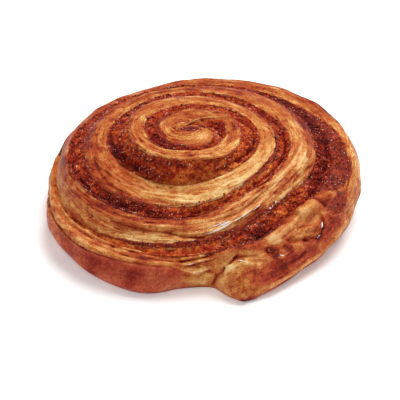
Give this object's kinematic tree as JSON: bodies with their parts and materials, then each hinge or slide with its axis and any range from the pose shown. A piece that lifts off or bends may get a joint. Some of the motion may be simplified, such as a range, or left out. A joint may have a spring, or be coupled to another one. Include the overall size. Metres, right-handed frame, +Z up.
{
  "type": "cinnamon roll",
  "caption": "Round laminated pastry: a dough strip coiled in a stepped spiral with a dark cinnamon filling in the groove between its turns and a folded tail at the front.",
  "frame": {"origin": "middle of the roll's bounding box on the flat underside that it stands on", "axes": "+Z up, -Y towards the front where the tail is folded over, +X to the right seen from the front"},
  "size_m": [0.1152, 0.1162, 0.0381],
  "materials": {
    "dough": "baked laminated dough, golden to red-brown, thinly glazed",
    "filling": "dark granular cinnamon and sugar, moist"
  },
  "bodies": {
    "root": {"dough": "dough", "filling": "filling"}
  },
  "joints": []
}
